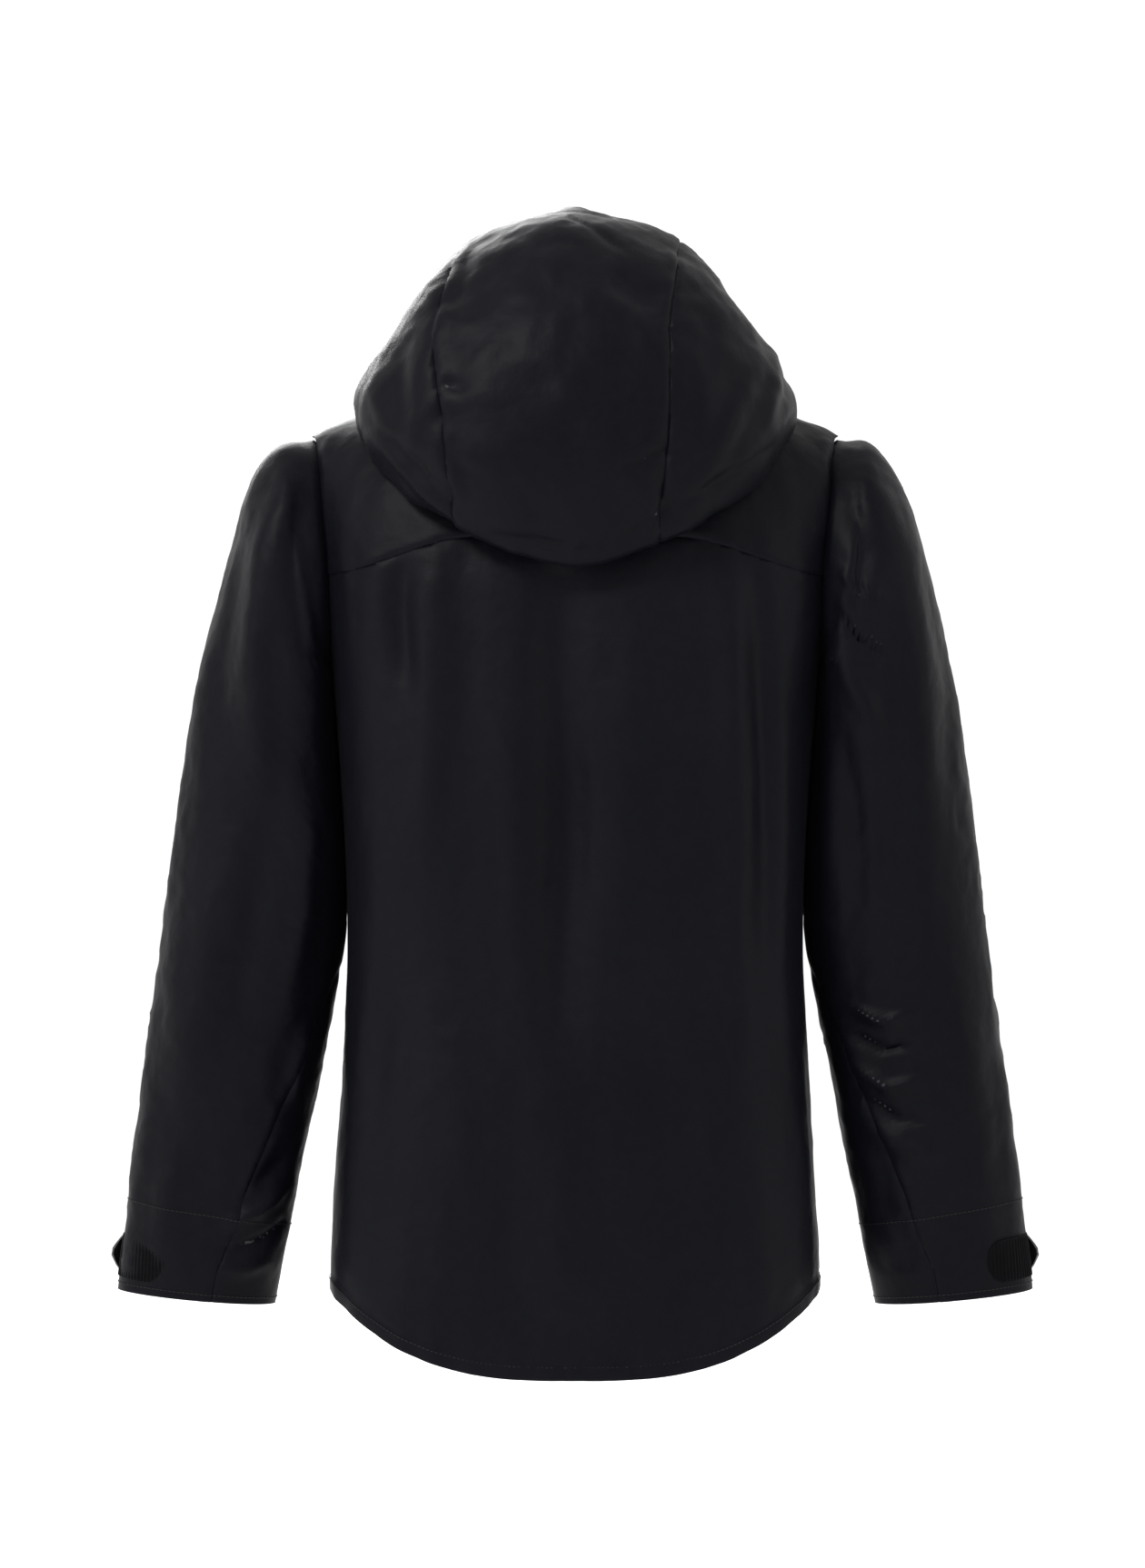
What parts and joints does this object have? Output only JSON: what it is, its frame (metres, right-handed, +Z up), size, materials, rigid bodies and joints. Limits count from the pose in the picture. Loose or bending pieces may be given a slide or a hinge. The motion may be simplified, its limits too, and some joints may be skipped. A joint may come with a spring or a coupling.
{
  "type": "hooded hardshell jacket",
  "caption": "Hooded waterproof shell jacket with long sleeves, full front zip, zipped hand pockets, peaked hood, drop-tail hem, cuff tabs and barrel cord locks.",
  "frame": {"origin": "centre of the underside of the hang loop's bar, where a hook bears, at the back of the neck", "axes": "+Z up, +Y out of the jacket's back, +X to the wearer's left"},
  "size_m": [0.6988, 0.3014, 0.861],
  "materials": {
    "shell_fabric": "satin-matt plain weave, three-layer laminate",
    "lining": "matt tricot",
    "zip_tape": "coated tape, semi-matt",
    "zip_metal": "black lacquer, worn at the edges",
    "moulded_plastic": "fine moulded grain",
    "spring_steel": "drawn wire",
    "hook_and_loop": "matt pile and moulded hooks",
    "elastic_cord": "braided"
  },
  "bodies": {
    "jacket": {"back_panel": "shell_fabric", "back_yoke": "shell_fabric", "front_panel_left": "shell_fabric", "front_panel_right": "shell_fabric", "hood_centre": "shell_fabric", "hood_side_left": "shell_fabric", "hood_side_right": "shell_fabric", "collar_left": "shell_fabric", "collar_right": "shell_fabric", "hood_face_binding": "lining", "hood_brim": "shell_fabric", "hood_drawcord": "elastic_cord", "hood_lock_left_housing": "moulded_plastic", "hood_lock_left_spring": "spring_steel", "hood_lock_right_housing": "moulded_plastic", "hood_lock_right_spring": "spring_steel", "front_zip_left": "zip_tape", "front_zip_right": "zip_tape", "front_zip_box": "moulded_plastic", "storm_flap": "lining", "chin_guard": "lining", "pocket_zip_left": "zip_tape", "pocket_bag_left": "lining", "pocket_zip_right": "zip_tape", "pocket_bag_right": "lining", "hem_channel": "lining", "hem_lock_left_housing": "moulded_plastic", "hem_lock_left_spring": "spring_steel", "hem_lock_right_housing": "moulded_plastic", "hem_lock_right_spring": "spring_steel", "hem_drawcord": "elastic_cord", "neck_tape": "lining", "hang_loop": "zip_tape"},
    "front_slider": {"front_zip_slider": "zip_metal"},
    "front_pull": {"front_zip_pull": "moulded_plastic"},
    "pocket_slider_left": {"pocket_slider_left": "zip_metal"},
    "pocket_pull_left": {"pocket_pull_left": "moulded_plastic"},
    "pocket_slider_right": {"pocket_slider_right": "zip_metal"},
    "pocket_pull_right": {"pocket_pull_right": "moulded_plastic"},
    "sleeve_left": {"sleeve_upper_left": "shell_fabric", "sleeve_under_left": "shell_fabric", "cuff_facing_left": "lining", "cuff_loop_patch_left": "hook_and_loop"},
    "sleeve_right": {"sleeve_upper_right": "shell_fabric", "sleeve_under_right": "shell_fabric", "cuff_facing_right": "lining", "cuff_loop_patch_right": "hook_and_loop"},
    "cuff_tab_left": {"cuff_tab_left": "moulded_plastic", "cuff_hook_left": "hook_and_loop"},
    "cuff_tab_right": {"cuff_tab_right": "moulded_plastic", "cuff_hook_right": "hook_and_loop"},
    "hem_button_left": {"hem_lock_left_button": "moulded_plastic"},
    "hem_button_right": {"hem_lock_right_button": "moulded_plastic"},
    "hood_button_left": {"hood_lock_left_button": "moulded_plastic"},
    "hood_button_right": {"hood_lock_right_button": "moulded_plastic"}
  },
  "joints": [
    {"name": "front_zip_slide", "type": "slide", "parent": "jacket", "child": "front_slider", "axis": [0, -0.0243, -0.9997], "range_m": [0, 0.648]},
    {"name": "front_pull_swing", "type": "hinge", "parent": "front_slider", "child": "front_pull", "pos_m": [0, -0.17904, -0.01006], "axis": [-1, 0, 0], "range_deg": [0, 150]},
    {"name": "pocket_zip_slide_left", "type": "slide", "parent": "jacket", "child": "pocket_slider_left", "axis": [0.0591, -0.008, -0.9982], "range_m": [0, 0.114]},
    {"name": "pocket_pull_swing_left", "type": "hinge", "parent": "pocket_slider_left", "child": "pocket_pull_left", "pos_m": [0.11552, -0.1755, -0.42628], "axis": [-0.9182, -0.3929, -0.0512], "range_deg": [0, 150]},
    {"name": "pocket_zip_slide_right", "type": "slide", "parent": "jacket", "child": "pocket_slider_right", "axis": [-0.0591, -0.008, -0.9982], "range_m": [0, 0.114]},
    {"name": "pocket_pull_swing_right", "type": "hinge", "parent": "pocket_slider_right", "child": "pocket_pull_right", "pos_m": [-0.11552, -0.1755, -0.42628], "axis": [-0.9182, 0.3929, 0.0512], "range_deg": [0, 150]},
    {"name": "shoulder_left", "type": "hinge", "parent": "jacket", "child": "sleeve_left", "pos_m": [0.192, -0.0625, -0.0445], "axis": [0, -1, 0], "range_deg": [0, 40]},
    {"name": "shoulder_right", "type": "hinge", "parent": "jacket", "child": "sleeve_right", "pos_m": [-0.192, -0.0625, -0.0445], "axis": [0, 1, 0], "range_deg": [0, 40]},
    {"name": "cuff_tab_peel_left", "type": "hinge", "parent": "sleeve_left", "child": "cuff_tab_left", "pos_m": [0.27625, -0.124, -0.66698], "axis": [0.1603, 0.0331, -0.9865], "range_deg": [0, 110]},
    {"name": "cuff_tab_peel_right", "type": "hinge", "parent": "sleeve_right", "child": "cuff_tab_right", "pos_m": [-0.27625, -0.124, -0.66698], "axis": [0.1603, -0.0331, 0.9865], "range_deg": [0, 110]},
    {"name": "hem_button_press_left", "type": "slide", "parent": "jacket", "child": "hem_button_left", "axis": [0, 0, -1], "range_m": [0, 0.0022], "stiffness_N_per_m": 250, "springref_m": -0.002, "deforming": ["hem_lock_left_spring"]},
    {"name": "hem_button_press_right", "type": "slide", "parent": "jacket", "child": "hem_button_right", "axis": [0, 0, -1], "range_m": [0, 0.0022], "stiffness_N_per_m": 250, "springref_m": -0.002, "deforming": ["hem_lock_right_spring"]},
    {"name": "hood_button_press_left", "type": "slide", "parent": "jacket", "child": "hood_button_left", "axis": [0, 0, -1], "range_m": [0, 0.0022], "stiffness_N_per_m": 250, "springref_m": -0.002, "deforming": ["hood_lock_left_spring"]},
    {"name": "hood_button_press_right", "type": "slide", "parent": "jacket", "child": "hood_button_right", "axis": [0, 0, -1], "range_m": [0, 0.0022], "stiffness_N_per_m": 250, "springref_m": -0.002, "deforming": ["hood_lock_right_spring"]}
  ]
}
